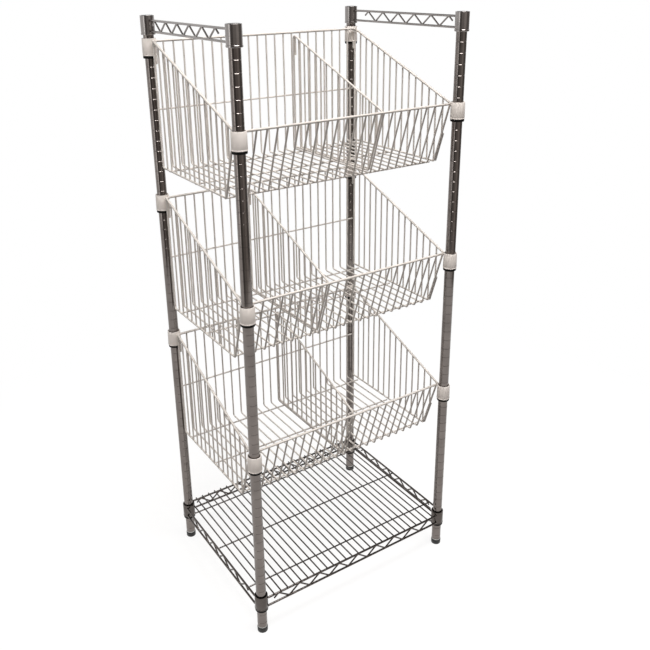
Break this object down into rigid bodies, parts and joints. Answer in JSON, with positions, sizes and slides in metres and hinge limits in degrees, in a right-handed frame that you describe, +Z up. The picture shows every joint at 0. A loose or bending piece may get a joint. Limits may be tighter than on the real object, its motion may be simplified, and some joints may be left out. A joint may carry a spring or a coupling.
{
  "type": "wire basket bread rack",
  "caption": "Free-standing wire rack on plated posts: forward-sloping off-white wire baskets with lift-out dividers over a flat wire shelf, end rails on top and levelling feet.",
  "frame": {"origin": "on the floor under the middle of the four posts", "axes": "+Z up, front of the baskets towards -Y, +X to the right seen from the front"},
  "size_m": [0.6228, 0.4708, 1.4945],
  "materials": {
    "post_chrome": "bright plated tube",
    "wire_chrome": "plated wire",
    "basket_coating": "satin powder coating",
    "black_plastic": "matt moulding",
    "zinc_steel": "zinc plated"
  },
  "bodies": {
    "rack": {"post_rear_left": "post_chrome", "post_front_left": "post_chrome", "post_rear_right": "post_chrome", "post_front_right": "post_chrome", "post_cap_rear_left": "black_plastic", "post_cap_front_left": "black_plastic", "post_cap_rear_right": "black_plastic", "post_cap_front_right": "black_plastic", "foot_insert_rear_left": "zinc_steel", "foot_insert_front_left": "zinc_steel", "foot_insert_rear_right": "zinc_steel", "foot_insert_front_right": "zinc_steel", "shelf_frame": "wire_chrome", "shelf_mat": "wire_chrome", "shelf_sleeve_rear_left": "black_plastic", "shelf_sleeve_front_left": "black_plastic", "shelf_sleeve_rear_right": "black_plastic", "shelf_sleeve_front_right": "black_plastic", "low_basket_grille": "basket_coating", "low_basket_side_left": "basket_coating", "low_basket_side_right": "basket_coating", "low_basket_collar_rear_left": "basket_coating", "low_basket_collar_front_left": "basket_coating", "low_basket_collar_rear_right": "basket_coating", "low_basket_collar_front_right": "basket_coating", "low_basket_sleeve_rear_left": "black_plastic", "low_basket_sleeve_front_left": "black_plastic", "low_basket_sleeve_rear_right": "black_plastic", "low_basket_sleeve_front_right": "black_plastic", "middle_basket_grille": "basket_coating", "middle_basket_side_left": "basket_coating", "middle_basket_side_right": "basket_coating", "middle_basket_collar_rear_left": "basket_coating", "middle_basket_collar_front_left": "basket_coating", "middle_basket_collar_rear_right": "basket_coating", "middle_basket_collar_front_right": "basket_coating", "middle_basket_sleeve_rear_left": "black_plastic", "middle_basket_sleeve_front_left": "black_plastic", "middle_basket_sleeve_rear_right": "black_plastic", "middle_basket_sleeve_front_right": "black_plastic", "top_basket_grille": "basket_coating", "top_basket_side_left": "basket_coating", "top_basket_side_right": "basket_coating", "top_basket_collar_rear_left": "basket_coating", "top_basket_collar_front_left": "basket_coating", "top_basket_collar_rear_right": "basket_coating", "top_basket_collar_front_right": "basket_coating", "top_basket_sleeve_rear_left": "black_plastic", "top_basket_sleeve_front_left": "black_plastic", "top_basket_sleeve_rear_right": "black_plastic", "top_basket_sleeve_front_right": "black_plastic", "end_rail_left": "wire_chrome", "end_rail_right": "wire_chrome"},
    "levelling_foot_rear_left": {"foot_rear_left": "black_plastic"},
    "levelling_foot_front_left": {"foot_front_left": "black_plastic"},
    "levelling_foot_rear_right": {"foot_rear_right": "black_plastic"},
    "levelling_foot_front_right": {"foot_front_right": "black_plastic"},
    "low_divider": {"low_basket_divider": "basket_coating"},
    "middle_divider": {"middle_basket_divider": "basket_coating"},
    "top_divider": {"top_basket_divider": "basket_coating"}
  },
  "joints": [
    {"name": "foot_screw_out_rear_left", "type": "slide", "parent": "rack", "child": "levelling_foot_rear_left", "axis": [0, 0, -1], "range_m": [0, 0.025]},
    {"name": "foot_screw_out_front_left", "type": "slide", "parent": "rack", "child": "levelling_foot_front_left", "axis": [0, 0, -1], "range_m": [0, 0.025]},
    {"name": "foot_screw_out_rear_right", "type": "slide", "parent": "rack", "child": "levelling_foot_rear_right", "axis": [0, 0, -1], "range_m": [0, 0.025]},
    {"name": "foot_screw_out_front_right", "type": "slide", "parent": "rack", "child": "levelling_foot_front_right", "axis": [0, 0, -1], "range_m": [0, 0.025]},
    {"name": "low_divider_lift", "type": "slide", "parent": "rack", "child": "low_divider", "axis": [0, 0, 1], "range_m": [0, 0.07]},
    {"name": "middle_divider_lift", "type": "slide", "parent": "rack", "child": "middle_divider", "axis": [0, 0, 1], "range_m": [0, 0.07]},
    {"name": "top_divider_lift", "type": "slide", "parent": "rack", "child": "top_divider", "axis": [0, 0, 1], "range_m": [0, 0.3]}
  ]
}
